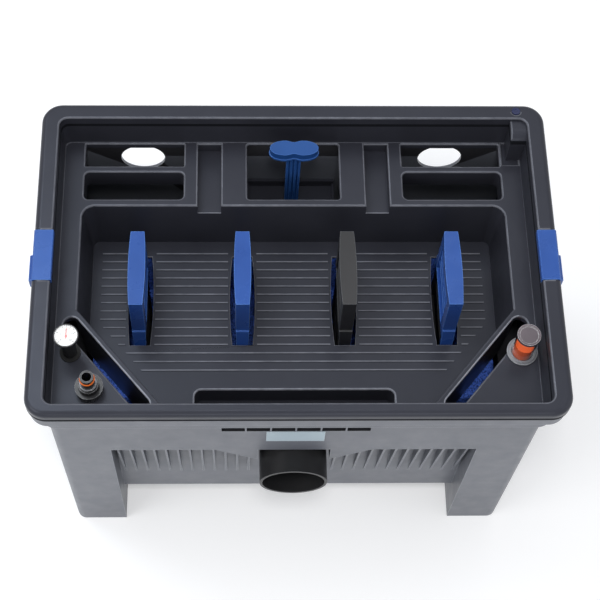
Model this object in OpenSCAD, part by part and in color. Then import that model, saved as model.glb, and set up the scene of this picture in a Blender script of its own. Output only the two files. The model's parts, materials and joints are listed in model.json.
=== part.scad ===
// Flow-through pond filter: a moulded tub on four legs, a deep tray-like lid,
// four pull handles that squeeze the filter foams, and a slide valve for sludge.
// Origin: middle of the footprint, on the ground. +X right, +Y back, +Z up.

/* [Overall] */
// Width of the lid over its rim
rim_w = 598; // [590:1:620]
// Depth of the lid over its rim
rim_d = 398; // [394:1:412]
// Height from the ground to the top of the rim
total_h = 445; // [440:1:480]

/* [Tub] */
// How far the tub's sides stand in from the rim
tub_in_side = 15; // [13:0.5:17]
// How far the tub's front stands in from the rim
tub_in_front = 23; // [21:0.5:25]
// How far the tub's rear stands in from the rim
tub_in_back = 19; // [17:0.5:20]
// Wall thickness of the tub
tub_t = 4; // [3:0.5:4.5]
// Radius of the tub's upright corners
tub_r = 12; // [8:1:20]
// Height of the legs, up to the underside of the floor
leg_h = 58; // [40:1:70]
// Width of a leg along X
leg_w = 66; // [50:1:70]
// Depth of a leg along Y
leg_d = 60; // [45:1:66]
// Depth of the recessed panels between the legs
recess_d = 28; // [20:0.5:28]
// Drop of the smooth band's lower edge below the tray
band_drop = 41; // [30:1:48]
// Spacing of the triangular fins under the band
fin_pitch = 14.4; // [10:0.1:24]
// Thickness of one fin
fin_t = 2.4; // [1.5:0.1:4]
// Reach of the fins out from the recessed panel
fin_d = 22; // [8:0.5:24]
// Height of the fins
fin_h = 160; // [80:1:180]
// Height of the collar that stands above the shelf
collar_h = 41; // [38:0.5:42]
// Gap between the lid's basin and the collar
collar_gap = 2.4; // [1.5:0.1:2.8]
// Width of the flange skirt's overhang past the collar
flange_out = 6; // [5:0.1:6.5]
// Height of the flange skirt
flange_h = 19.5; // [10:0.5:21]
// Thickness of flange and shelf
flange_t = 3; // [2.5:0.1:3]
// Width of one overflow slot
overflow_w = 27; // [15:0.5:28]
// Height of an overflow slot
overflow_h = 14; // [8:0.5:20]
// Web between two overflow slots
overflow_web = 2; // [1.5:0.1:6]
// Drop of the overflow slots' lower edge below the ledge
overflow_drop = 60; // [50:1:66]

/* [Inlets, outlet and drain] */
// Radius of the two inlet holes
inlet_r = 27; // [20:0.5:28]
// Distance of an inlet hole from the middle
inlet_x = 184; // [170:1:195]
// Gap between the top of an inlet hole and the shelf
inlet_gap = 2; // [1:0.5:12]
// Bore radius of the outlet stub, for a 75 mm pipe
outlet_bore_r = 37.7; // [30:0.1:38]
// Wall thickness of the outlet stub
outlet_t = 3.3; // [2.5:0.1:4]
// Drop of the outlet's axis below the tray
outlet_drop = 84; // [82:1:90]
// Reach of the outlet and drain stubs past the rim
stub_out = 4; // [1:1:16]
// Width of the flange round the outlet stub, inside the tub
outlet_flange = 7; // [6.5:0.1:9]
// Length of the outlet's strainer
strainer_l = 20; // [18:0.5:22]
// Width of the cheeks beside the outlet stub
ear_w = 50.5; // [30:0.5:60]
// Height of the cheeks
ear_h = 34; // [20:1:40]
// Outer radius of the drain stub, for a 50 mm pipe
drain_r = 25; // [16:0.5:25]
// Wall thickness of the drain stub
drain_t = 3; // [2:0.1:4]
// Gap between the drain stub and the tub's floor
drain_up = 9; // [7:1:17]

/* [Lid] */
// Wall thickness of the lid
lid_t = 3; // [2.5:0.1:3.2]
// Height of the rim's outer lip
lip_h = 17; // [15:0.5:20]
// Thickness of the rim's top
rim_t = 5; // [4.5:0.1:6]
// Radius of the rim's upright corners
rim_r = 24; // [22:1:30]
// Radius of the rim's rounded top edge
rim_edge = 7; // [4:0.5:8]
// Width of the rim at its sides
rim_side = 21; // [21:0.5:24]
// Width of the rim at its front
rim_front = 14.6; // [14.4:0.1:16]
// Width of the rim at its rear
rim_back = 21; // [19:0.5:23]
// Depth of the basin, from the rim down to the ledge
basin_h = 51; // [50:0.5:54]
// Corner radius at the basin's floor
basin_r = 8; // [6:1:16]
// Lean of the basin's and tray's walls over their height
lean = 2; // [1:0.1:3]
// Width of the ledge beside the tray
ledge_side = 26; // [25:0.5:30]
// Depth of the platform behind the tray
platform_d = 90.5; // [90:0.5:94]
// Depth of the ledge before the tray
ledge_front = 17.9; // [17:0.1:24]
// Depth of the tray below the ledge
tray_h = 79; // [60:0.5:82]
// Corner radius at the tray's floor
tray_r = 8; // [6:1:20]
// Lean of the tray's walls over their height
tray_lean = 7; // [3:0.5:8]
// How far a diagonal wall cuts into the tray's width
diag_w = 99; // [94:1:104]
// How far a diagonal wall cuts into the tray's depth
diag_d = 117.5; // [112:0.5:122]
// Thickness of a diagonal wall
ridge_t = 7; // [5:0.5:8]
// Width of a diagonal slot
diag_slot_w = 19; // [14:0.5:20]
// Length that a diagonal slot leaves of its wall
diag_slot_less = 7.6; // [6:0.1:30]
// Spacing of the fine ribs on the tray's floor
rib_pitch = 11.1; // [9:0.1:14]
// Number of fine ribs
rib_count = 15; // [8:1:16]
// Width of a fine rib
rib_w = 1.6; // [1:0.1:2.5]
// Height of a fine rib
rib_h = 1; // [0.6:0.1:1.6]
// Half width of the well at the tray's front
well_x = 118; // [90:1:120]
// Depth of the well from the tray's front
well_d = 49.5; // [42:0.5:52]
// Depth of the well
well_h = 34; // [20:1:36]
// Half width of the middle opening
mid_open_x = 55.5; // [50:0.5:58]
// Inner and outer sides of the two drain channels, from the middle
channel_x = [87, 115];
// Depth of the two channels in the rear platform
channel_h = 16; // [8:1:18]
// Inner side of the rear openings, from the middle
window_in = 132; // [128:1:140]
// Width of the ledge beside the rear openings
window_side = 27; // [25:0.5:34]
// Gap between the rear windows and the basin's rear wall
window_gap = 4.5; // [3:0.5:6]
// Depth of the rear windows
window_rear_d = 31; // [28:0.5:33]
// Bar between the two rows of windows
window_bar = 8.6; // [6:0.2:12]
// Depth of the windows in the fore row
window_fore_d = 37.1; // [30:0.1:38]
// Bar between the fore openings and the tray
tray_bar = 9.4; // [8:0.2:14]
// Depth of the lips under the openings
lip_down = 6; // [3:0.5:8]
// Depth of the skirts under the deeper windows
skirt_down = 26; // [10:1:30]

/* [Handles and foams] */
// Height of the handles' tops above the ledge
handle_up = 10; // [0:1:20]
// Length of a handle's top bar
handle_l = 95; // [80:1:98]
// Width of a handle at its middle
handle_w = 20; // [16:0.5:22]
// Width of a handle at its ends
handle_w_end = 16; // [13:0.5:18]
// Thickness of a handle's top bar
handle_bar = 12; // [8:0.5:16]
// Length of a handle slot
slot_l = 118.5; // [116:0.5:120]
// Width of a handle slot at its middle
slot_w = 30; // [25:0.5:32]
// Width of a handle slot at its ends
slot_w_end = 24; // [20:0.5:26]
// Travel of a handle
pull = 95; // [40:1:100]
// Thickness of the carrier's rails
rail_t = 10; // [6:0.5:12]
// Reach of a handle's screws into its carrier
screw_in = 9; // [6:0.5:10]
// Height of a handle screw's head
screw_head_h = 2.4; // [1.5:0.1:3]
// Thickness of a press plate
plate_t = 6; // [4:0.5:8]
// Gap between an outer foam block and the tub's side
foam_side = 10; // [6:0.5:16]
// Gap between two foam blocks
foam_between = 8; // [4:0.5:14]
// Gap between the foam blocks and the tray's rear wall above
foam_behind = 7.5; // [6:0.5:14]
// Gap between the two inner foam blocks and the well above
foam_well = 6; // [5:0.5:20]
// Gap between the two outer foam blocks and the tub's front
foam_before = 19; // [14:0.5:30]
// Gap between the foams and the tray above
foam_gap = 4; // [2:0.5:10]
// Depth of the hollow in a foam under its handle's slot
foam_hollow = 90; // [20:1:150]
// Height of the support grid's top above the tub's floor
grid_h = 14; // [10:1:20]

/* [Sludge valve] */
// Gap between the valve's slide and the tub's rear wall
slide_back = 33; // [30:0.5:36]
// Width of the pull handle's cap
cap_w = 59.5; // [50:0.5:70]
// Depth of the cap
cap_d = 23; // [18:0.5:30]
// Height of the cap
cap_h = 12.5; // [10:0.5:18]
// How far the cap's waist is drawn in
cap_waist = 2.6; // [0:0.1:4]
// Gap between the cap's top and the rim's top
cap_below = 10; // [4:0.5:16]
// Width of the stem
stem_w = 17; // [12:0.5:20]
// Thickness of the stem
stem_t = 11; // [8:0.5:14]
// Thickness of the gate
gate_t = 4; // [3:0.1:5]
// Travel of the slide
slide_up = 56; // [50:1:60]

/* [Fittings on the lid] */
// Gap between the basin's side and the thermometer's or indicator's axis
gauge_in = 21; // [20:0.5:23]
// Gap between the basin's front and the thermometer's or indicator's axis
gauge_front = 81.4; // [76:0.2:84]
// Radius of the thermometer's dial
dial_r = 14.1; // [10:0.1:15]
// Radius of the thermometer's stem
thermo_r = 7.8; // [5:0.1:8]
// Reach of the thermometer's probe below the ledge
probe_down = 60; // [40:1:70]
// Radius of the probe
probe_r = 3; // [2:0.1:4]
// Outer radius of the indicator's clear tube
tube_r = 12.4; // [9:0.1:13]
// Wall thickness of the clear tube
tube_t = 1.4; // [1:0.1:2]
// Radius of the indicator's base ring
base_r = 17.5; // [15:0.1:18]
// Height of the indicator's float
float_h = 22; // [16:0.5:26]
// Reach of the rod below the float
float_rod = 50; // [30:1:60]
// Radius of the rod
float_rod_r = 2.5; // [1.5:0.1:3.5]
// Radius of the disc at the rod's foot
float_disc_r = 9; // [6:0.5:10]
// Travel of the indicator's float
float_up = 18; // [8:0.5:20]
// Gap between the basin's side and the hose connector's axis
connector_in = 45; // [40:0.5:48]
// Gap between the basin's front and the hose connector's axis
connector_front = 35.4; // [30:0.2:38]
// Bore radius of the hose connector
connector_bore = 5.3; // [3:0.1:5.5]
// Outer radius of the hose connector
connector_r = 7.8; // [7:0.1:8.5]
// Gap between the rim's side and the blind plug's axis
plug_side = 33; // [30:0.5:36]
// Gap between the rim's rear and the blind plug's axis
plug_back = 10; // [9:0.5:12]
// Radius of the plug
plug_r = 5; // [3:0.1:5.2]

/* [Label place] */
// Width of the bare plate over the outlet
label_w = 68; // [40:1:90]
// Height of the plate
label_h = 30; // [15:1:34]
// Thickness of the plate
label_t = 0.8; // [0.5:0.1:1.5]
// Gap between the plate and the overflow slots
label_gap = 1; // [0.5:0.1:4]

/* [Clips] */
// Length of a clip
clip_l = 63.5; // [40:0.5:80]
// Middle of the clips, in front of the middle of the lid
clip_y = 4; // [0:0.5:8]
// Thickness of a clip
clip_t = 2.6; // [2:0.1:2.8]
// Radius of a clip's hinge pin
pin_r = 1.5; // [1:0.1:1.6]

/* [Fits] */
// Clearance around pieces that sit in a hole
seat = 0.2; // [0.1:0.05:0.3]
// Clearance of a sliding or turning fit, on the radius
running = 0.05; // [0.02:0.01:0.08]
// Air between neighbours that don't touch
air = 0.3; // [0.2:0.05:0.5]

/* [Hidden] */
$fn = 72;
eps = 0.01;
big = 900;

// Colours
charcoal = [0.20, 0.22, 0.26];
grey = [0.51, 0.54, 0.57];
blue = [0.12, 0.24, 0.62];
foam_blue = [0.08, 0.14, 0.42];
black = [0.08, 0.08, 0.09];

// Half widths and half depths, from the rim inwards
tub_x = rim_w / 2 - tub_in_side;
tub_w = 2 * tub_x;
tub_front = rim_d / 2 - tub_in_front;
tub_back = rim_d / 2 - tub_in_back;
stub_y = rim_d / 2 + stub_out;
basin_x = rim_w / 2 - rim_side;
basin_front = rim_d / 2 - rim_front;
basin_back = rim_d / 2 - rim_back;
tray_x = basin_x - ledge_side;
tray_back = basin_back - platform_d;
tray_front = basin_front - ledge_front;
diag_x = tray_x - diag_w;
diag_y = tray_front - diag_d;
well_y = tray_front - well_d;
window_x = [window_in, basin_x - window_side];
window_rear = [basin_back - window_gap - window_rear_d, basin_back - window_gap];
window_fore = [window_rear[0] - window_bar - window_fore_d, window_rear[0] - window_bar];
mid_open_y = window_fore[0];
gauge_x = basin_x - gauge_in;
gauge_y = basin_front - gauge_front;
connector_at = [connector_in - basin_x, connector_front - basin_front];
plug_at = [rim_w / 2 - plug_side, rim_d / 2 - plug_back];
slide_y = tub_back - tub_t - slide_back;

// Foam blocks fill the room between the tub's recessed sides
room_x = tub_x - recess_d - tub_t;
foam_w = (2 * room_x - 2 * foam_side - 3 * foam_between) / 4;
foam_pitch = foam_w + foam_between;
foam_back = tray_back - foam_behind;
foam_front_in = well_y - lid_t - foam_well;
foam_front_out = tub_front - recess_d - tub_t - foam_before;

// Heights
lip_z = total_h - lip_h;
ledge_z = total_h - basin_h;
floor_z = ledge_z - tray_h;
tray_under = floor_z - lid_t;
shelf_z = ledge_z - lid_t - 1;
tub_floor = leg_h + tub_t;
grid_z = tub_floor + grid_h;
plate_z = grid_z + plate_t;
foam_top = tray_under - foam_gap;
handle_z = ledge_z + handle_up;
rail_top = floor_z + 5;
inlet_z = shelf_z - flange_t - inlet_gap - inlet_r;
band_z = tray_under - band_drop;
outlet_z = tray_under - outlet_drop;
overflow_z = ledge_z - overflow_drop;
drain_z = tub_floor + drain_up + drain_r;
outlet_r = outlet_bore_r + outlet_t;
gauge_z = total_h - 3;

// Collar and flange of the tub, as half widths and half depths
collar_x = basin_x + lid_t + collar_gap + 2 * air;
collar_y = basin_front + lid_t - lean + collar_gap;
flange_x = rim_w / 2 - 2;
flange_y = rim_d / 2 - 2;

// The diagonal walls of the tray, as a frame with x along the wall
diag_a = [-tray_x, -diag_y];
diag_b = [-diag_x, -tray_front];
diag_turn = atan2(diag_b[1] - diag_a[1], diag_b[0] - diag_a[0]);
diag_mid = (diag_a + diag_b) / 2;

diag_slot_l = norm(diag_b - diag_a) - diag_slot_less;

slots = [-1.5 * foam_pitch, -0.5 * foam_pitch, 0.5 * foam_pitch, 1.5 * foam_pitch];
foam_fronts = [foam_front_out, foam_front_in, foam_front_in, foam_front_out];

// Clip hinge
hinge_x = rim_w / 2 - 0.4;
hinge_z = lip_z - 8;
barrel_r = pin_r + 1.6;
tab_out = 4;
clip_wall_x = rim_w / 2 - clip_t - seat;
clip_span = [-clip_y - clip_l / 2 - air, -clip_y + clip_l / 2 + air];

// ---------- helpers ----------

module block(x, y, z) {
  translate([x[0], y[0], z[0]]) cube([x[1] - x[0], y[1] - y[0], z[1] - z[0]]);
}

module both_sides() {
  children();
  mirror([1, 0, 0]) children();
}

module at_diagonal() {
  translate([diag_mid[0], diag_mid[1], 0]) rotate([0, 0, diag_turn]) children();
}

// A rectangle with round corners, centred
module rounded(w, d, r) {
  square([w - 2 * r, d], center = true);
  square([w, d - 2 * r], center = true);
  for (x = [-1, 1], y = [-1, 1])
    translate([x * (w / 2 - r), y * (d / 2 - r)]) circle(r);
}

module slab(w, d, h, r) {
  linear_extrude(h) rounded(w, d, r);
}

// A wall's section with a round top edge, from its corner's axis outwards
module round_edge(r, h, e) {
  square([r, h - e]);
  square([r - e, h]);
  translate([r - e, h - e]) circle(e, $fn = 32);
}

// A slab whose top edge is rounded
module pillow(w, d, h, r, e) {
  a = w / 2 - r;
  b = d / 2 - r;
  translate([-a, -b, 0]) cube([2 * a, 2 * b, h]);
  for (x = [-1, 1], y = [-1, 1])
    translate([x * a, y * b, 0]) rotate_extrude($fn = 48) round_edge(r, h, e);
  for (m = [0, 1]) mirror([m, 0, 0])
    translate([a, b, 0]) rotate([90, 0, 0]) linear_extrude(2 * b) round_edge(r, h, e);
  for (m = [0, 1]) mirror([0, m, 0])
    translate([-a, b, 0]) rotate([90, 0, 90]) linear_extrude(2 * a) round_edge(r, h, e);
}

// A block with round corners whose walls lean out by `out` over its height
module drafted(w, d, h, r, out) {
  a = w / 2;
  b = d / 2;
  translate([0, b - r, 0]) rotate([90, 0, 0]) linear_extrude(2 * (b - r))
    polygon([[-a, 0], [a, 0], [a + out, h], [-a - out, h]]);
  translate([r - a, 0, 0]) rotate([90, 0, 90]) linear_extrude(2 * (a - r))
    polygon([[-b, 0], [b, 0], [b + out, h], [-b - out, h]]);
  for (x = [-1, 1], y = [-1, 1])
    translate([x * (a - r), y * (b - r), 0]) cylinder(r1 = r, r2 = r + out, h = h);
}

// A long outline with bowed sides
module barrel(l, w, w_end) {
  s = (w - w_end) / 2;
  bow = (l * l / 4 + s * s) / (2 * s);
  intersection() {
    square([w, l], center = true);
    translate([w / 2 - bow, 0]) circle(bow, $fn = 360);
    translate([bow - w / 2, 0]) circle(bow, $fn = 360);
  }
}

module tube(r, bore, h) {
  difference() {
    cylinder(r = r, h = h);
    translate([0, 0, -1]) cylinder(r = bore, h = h + 2);
  }
}

// Puts a piece that is drawn along +Z so that it runs towards -Y from y
module towards_front(x, y, z) {
  translate([x, y, z]) rotate([90, 0, 0]) children();
}

// ---------- tub ----------

// The tub's outside shape, drawn in by `o`
module tub_form(o, top) {
  y_mid = (tub_back - tub_front) / 2;
  x_out = tub_w / 2 - o;
  front = -tub_front + o;
  back = tub_back - o;
  leg_x = tub_w / 2 - leg_w + o;
  difference() {
    intersection() {
      translate([0, y_mid, o])
        slab(tub_w - 2 * o, tub_front + tub_back - 2 * o, top - o, tub_r - o);
      union() {
        block([-big, big], [-big, big], [leg_h + o, top]);
        both_sides() {
          block([leg_x, x_out], [front, leg_d - tub_front - o], [o, leg_h + o + 1]);
          block([leg_x, x_out], [tub_back - leg_d + o, back], [o, leg_h + o + 1]);
        }
      }
    }
    block([-leg_x, leg_x], [-big, recess_d - tub_front + o], [-1, band_z + o]);
    both_sides()
      block([tub_w / 2 - recess_d - o, big], [leg_d - tub_front - o, tub_back - leg_d + o],
        [-1, band_z + o]);
  }
}

module fins() {
  // the fins stand under the band, across the recessed front panel
  inner = outlet_r + 8;
  outer = tub_w / 2 - leg_w - 6;
  n = floor((outer - inner) / fin_pitch);
  both_sides() for (i = [0 : n])
    translate([outer - i * fin_pitch, recess_d - tub_front + eps, band_z + eps]) rotate([90, 0, 90])
      linear_extrude(fin_t, center = true) polygon([[0, 0], [-fin_d, 0], [0, -fin_h]]);
  // and across the two side panels
  side = (tub_front + tub_back) / 2 - leg_d - 8;
  m = floor(side / fin_pitch);
  both_sides() for (i = [-m : m])
    translate([tub_w / 2 - recess_d - eps, (tub_back - tub_front) / 2 + i * fin_pitch, band_z + eps])
      rotate([90, 0, 0])
      linear_extrude(fin_t, center = true) polygon([[0, 0], [fin_d, 0], [0, -fin_h]]);
}

module collar() {
  difference() {
    union() {
      translate([0, 0, shelf_z - flange_t])
        slab(2 * (collar_x + tub_t), 2 * (collar_y + tub_t), collar_h, rim_r - 4);
      translate([0, 0, lip_z - flange_h]) slab(2 * flange_x, 2 * flange_y, flange_h, rim_r - 2);
    }
    // hollow under the flange, between the collar and the skirt
    difference() {
      translate([0, 0, lip_z - flange_h - 1])
        slab(2 * (flange_x - flange_t), 2 * (flange_y - flange_t), flange_h - flange_t + 1, rim_r - 5);
      translate([0, 0, shelf_z - flange_t])
        slab(2 * (collar_x + tub_t), 2 * (collar_y + tub_t), big, rim_r - 4);
    }
    // room for the lid's basin
    translate([0, 0, shelf_z]) slab(2 * collar_x, 2 * collar_y, big, rim_r - 8);
    // the tub's mouth
    translate([0, (tub_back - tub_front) / 2, 0])
      slab(tub_w - 2 * tub_t, tub_front + tub_back - 2 * tub_t, big, tub_r - tub_t);
  }
}

module clip_ears() {
  // two ears a side carry a clip's hinge pin
  inner = flange_x - hinge_x - flange_t;
  both_sides() for (s = [-1, 1])
    translate([hinge_x, s * (clip_l / 2 + 2 + air) - clip_y, hinge_z]) rotate([90, 0, 0])
      difference() {
        union() {
          cylinder(r = barrel_r, h = 4, center = true);
          translate([inner, -barrel_r, -2]) cube([-inner, 2 * barrel_r, 4]);
        }
        cylinder(r = pin_r + running, h = 6, center = true);
      }
}

module clip_pockets() {
  // the flange steps back behind each clip
  both_sides() block([clip_wall_x - 1, big], clip_span, [lip_z - flange_h - 1, big]);
}

module outlet_ears() {
  // sloping hoods beside the outlet stub, each with a face flush with the band
  x = outlet_r + 2.5;
  top = band_z + eps;
  low = band_z - ear_h;
  both_sides() {
    towards_front(0, tub_t - tub_front, 0) linear_extrude(tub_t)
      polygon([[x, top], [x + ear_w, top], [x, low]]);
    towards_front(0, recess_d - tub_front + eps, 0) linear_extrude(recess_d)
      polygon([[x, low], [x + ear_w, top], [x + ear_w * (1 - tub_t / ear_h), top], [x, low + tub_t]]);
  }
}

module tub() {
  slot_pitch = overflow_w + overflow_web;
  color(grey) difference() {
    union() {
      difference() {
        tub_form(0, shelf_z);
        tub_form(tub_t, big);
      }
      difference() {
        collar();
        clip_pockets();
      }
      fins();
      clip_ears();
      outlet_ears();
      // pad inside the recessed panel, for the outlet's flange
      towards_front(0, -wall_in, outlet_z) cylinder(r = flange_r, h = tub_t + 1);
    }
    for (s = [-1, 1]) towards_front(s * inlet_x, tub_back + 1, inlet_z)
      cylinder(r = inlet_r, h = tub_t + 2);
    for (i = [-2.5 : 2.5])
      block([i * slot_pitch - overflow_w / 2, i * slot_pitch + overflow_w / 2],
        [-tub_front - 1, tub_t - tub_front + 1], [overflow_z, overflow_z + overflow_h]);
    towards_front(0, 0, outlet_z) cylinder(r = outlet_r + seat, h = tub_front);
    for (a = [45 : 90 : 315])
      towards_front(screw_ring * cos(a), -wall_in + 1, outlet_z + screw_ring * sin(a))
        cylinder(r = 1.5, h = 2 * tub_t - 1);
    towards_front(0, tub_back + 1, drain_z) cylinder(r = drain_r + seat, h = tub_t + 2);
  }
}

// ---------- lid ----------

module basin_space(o, top) {
  y_mid = (basin_back - basin_front) / 2;
  translate([0, y_mid, ledge_z - o])
    drafted(2 * (basin_x - lean + o), basin_back + basin_front - 2 * lean + 2 * o,
      top - ledge_z + o, basin_r + o, lean);
}

module inside_diagonals(o) {
  difference() {
    block([-big, big], [-big, big], [-big, big]);
    both_sides() at_diagonal() block([-big, big], [-big, -o], [-big, big]);
  }
}

module tray_space(o, ridge) {
  y_mid = (tray_back - tray_front) / 2;
  intersection() {
    translate([0, y_mid, floor_z - o])
      drafted(2 * (tray_x - tray_lean + o), tray_back + tray_front - 2 * tray_lean + 2 * o,
        tray_h + o, tray_r + o, tray_lean);
    inside_diagonals(ridge);
  }
}

module diagonal_slot(grow) {
  // its far end stays behind the tray's front wall
  x0 = -diag_slot_l / 2 + diag_slot_w / 2 - 2;
  x1 = x0 + diag_slot_l - diag_slot_w;
  r = diag_slot_w / 2 + grow;
  y = -ridge_t - diag_slot_w / 2;
  translate([x0, y, 0]) cylinder(r = r, h = big, center = true);
  translate([x1, y, 0]) cylinder(r = r, h = big, center = true);
  translate([(x0 + x1) / 2, y, 0]) cube([x1 - x0, 2 * r, big], center = true);
}

module window(x, y, grow, r) {
  translate([(x[0] + x[1]) / 2, (y[0] + y[1]) / 2, 0])
    linear_extrude(big, center = true) rounded(x[1] - x[0] + 2 * grow, y[1] - y[0] + 2 * grow, r + grow);
}

module floor_ribs() {
  first = tray_back - tray_lean - 17;
  intersection() {
    difference() {
      for (i = [0 : rib_count - 1]) {
        y = first - i * rib_pitch;
        block([lean - tray_x + 17, tray_x - 17 - lean], [y - rib_w / 2, y + rib_w / 2],
          [floor_z - eps, floor_z + rib_h]);
      }
      for (x = slots)
        block([x - slot_w / 2 - 2.5, x + slot_w / 2 + 2.5], [-slot_l / 2 - 2, slot_l / 2 + 8], [0, big]);
    }
    inside_diagonals(-26);
  }
}

module corner_post() {
  // a moulded column in the rear right corner, with a round front edge
  x = [gauge_x + 2, basin_x + 1];
  y = [basin_back - 26, basin_back + 1];
  top = total_h - 5;
  e = 15;
  block(x, [y[0] + e, y[1]], [ledge_z - 4, top]);
  block(x, y, [ledge_z - 4, top - e]);
  translate([x[0], y[0] + e, top - e]) rotate([0, 90, 0]) cylinder(r = e, h = x[1] - x[0]);
}

module clip_notches() {
  both_sides() {
    block([basin_x - 8, big], clip_span, [total_h - clip_t - seat, big]);
    block([basin_x - 8, basin_x + 8], clip_span, [total_h - 11, big]);
    block([clip_wall_x - seat, big], clip_span, [0, big]);
  }
}

module lid() {
  well_z = floor_z - well_h;
  // what hangs under the ledge stays inside the tub's mouth
  lips_back = min(tub_back - tub_t, basin_back - lean) - air;
  lips_front = tub_t + 1 - tub_front;
  color(charcoal) difference() {
    union() {
      difference() {
        translate([0, 0, lip_z + air]) pillow(rim_w, rim_d, lip_h - air, rim_r, rim_edge);
        translate([0, 0, lip_z - 1])
          slab(rim_w - 2 * lid_t, rim_d - 2 * lid_t, lip_h - rim_t + 1, rim_r - lid_t);
      }
      basin_space(lid_t, total_h - rim_t / 2);
      tray_space(lid_t, ridge_t);
      both_sides() {
        // the channels' undersides, and the lips under the openings
        block([channel_x[0] - lid_t, channel_x[1] + lid_t],
          [tray_back - lid_t, lips_back], [ledge_z - channel_h - lid_t, ledge_z]);
        intersection() {
          window(window_x, window_rear, 2, 3);
          block([0, big], [0, lips_back], [ledge_z - lid_t - lip_down, ledge_z]);
        }
        intersection() {
          window(window_x, window_fore, lid_t, 6);
          block([0, big], [0, big], [ledge_z - lid_t - skirt_down, ledge_z]);
        }
        intersection() {
          at_diagonal() diagonal_slot(lid_t);
          block([-big, 0], [lips_front, 0], [ledge_z - lid_t - lip_down, ledge_z]);
        }
      }
      // the well's underside
      block([-well_x - lid_t, well_x + lid_t], [tray_lean - tray_front - lid_t, lid_t - well_y],
        [well_z - lid_t, floor_z]);
    }
    difference() {
      basin_space(0, total_h + 1);
      corner_post();
    }
    difference() {
      tray_space(0, 0);
      floor_ribs();
    }
    translate([0, 0, -eps]) tray_mouth();
    // the well, with round ends
    translate([0, (tray_lean - tray_front - well_y) / 2, well_z])
      slab(2 * well_x, tray_front - tray_lean - well_y, well_h + 1, 8);
    both_sides() {
      block([channel_x[0], channel_x[1]], [tray_back - lid_t - tray_lean, lips_back - 2.5],
        [ledge_z - channel_h, ledge_z + 1]);
      window(window_x, window_rear, 0, 1.5);
      window(window_x, window_fore, 0, 6);
      at_diagonal() diagonal_slot(0);
    }
    window([-mid_open_x, mid_open_x], [mid_open_y, window_rear[1]], 0, 3);
    // the pocket round the post's foot
    difference() {
      block([gauge_x - 2, basin_x - lid_t - 1], [basin_back - 33, basin_back - lean - 1],
        [ledge_z - 2, ledge_z + 1]);
      corner_post();
    }
    for (x = slots) translate([x, 0, 0])
      linear_extrude(floor_z + 20) barrel(slot_l, slot_w, slot_w_end);
    clip_notches();
    // seats for the fittings
    translate([-gauge_x, -gauge_y, 0]) cylinder(r = thermo_hole, h = big);
    translate([gauge_x, -gauge_y, 0]) cylinder(r = indicator_hole, h = big);
    translate([connector_at[0], connector_at[1], 0]) cylinder(r = connector_r + seat, h = big);
    translate([plug_at[0], plug_at[1], 0]) cylinder(r = plug_r - 1 + seat, h = big);
    translate([plug_at[0], plug_at[1], total_h - 1]) cylinder(r = plug_r + seat, h = 5);
  }
}

// A thin slice that opens the tray into the basin
module tray_mouth() {
  intersection() {
    tray_space(0, 0);
    block([-big, big], [-big, big], [ledge_z - 1, ledge_z + 1]);
  }
}

module lid_gasket() {
  // a flat ring on the flange, under the hollow of the rim
  y = lip_h - rim_t;
  color(black) translate([0, 0, lip_z]) difference() {
    slab(2 * (collar_x + 8), 2 * (collar_y + 8), y, rim_r - 5);
    translate([0, 0, -1]) slab(2 * (collar_x + 3), 2 * (collar_y + 3), y + 2, rim_r - 8);
  }
}

// ---------- clips ----------

module clip() {
  l = clip_l;
  top = total_h;
  in_x = basin_x - clip_t / 2;
  out_x = rim_w / 2;
  difference() {
    union() {
      // inner hook, strap over the rim and outer wall, in one profile
      translate([0, l / 2, 0]) rotate([90, 0, 0]) linear_extrude(l)
        polygon([[in_x, top - 8], [in_x, top - 1], [in_x + 1, top], [out_x - 1.5, top],
          [out_x, top - 1.5], [out_x, hinge_z], [clip_wall_x, hinge_z],
          [clip_wall_x, top - clip_t], [in_x + clip_t, top - clip_t], [in_x + clip_t, top - 8]]);
      translate([hinge_x, 0, hinge_z]) rotate([90, 0, 0])
        cylinder(r = barrel_r, h = l, center = true);
      // finger tab on the outside
      translate([0, 3, 0]) rotate([90, 0, 0]) linear_extrude(l / 2)
        polygon([[clip_wall_x + 1, hinge_z], [out_x + tab_out - 1, hinge_z], [out_x + tab_out, hinge_z + 1],
          [out_x + tab_out, top - 9], [out_x - 1, top - 6]]);
    }
    translate([hinge_x, 0, hinge_z]) rotate([90, 0, 0])
      cylinder(r = pin_r + running, h = l + 2, center = true);
  }
}

module clip_left() {
  color(blue) translate([0, -clip_y, 0]) mirror([1, 0, 0]) clip();
}

module clip_right() {
  color(blue) translate([0, -clip_y, 0]) clip();
}

module clip_pins() {
  color("silver") both_sides() translate([hinge_x, -clip_y, hinge_z]) rotate([90, 0, 0])
    cylinder(r = pin_r, h = clip_l + 8 + 2 * air, center = true);
}

// ---------- handles, carriers and foams ----------

foot_y = slot_l / 2 - 2;

handle_foot = 9;
foot_run = 5.75;
screw_y = 30;
shank_r = 1.5;
head_r = 2.8;

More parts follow.
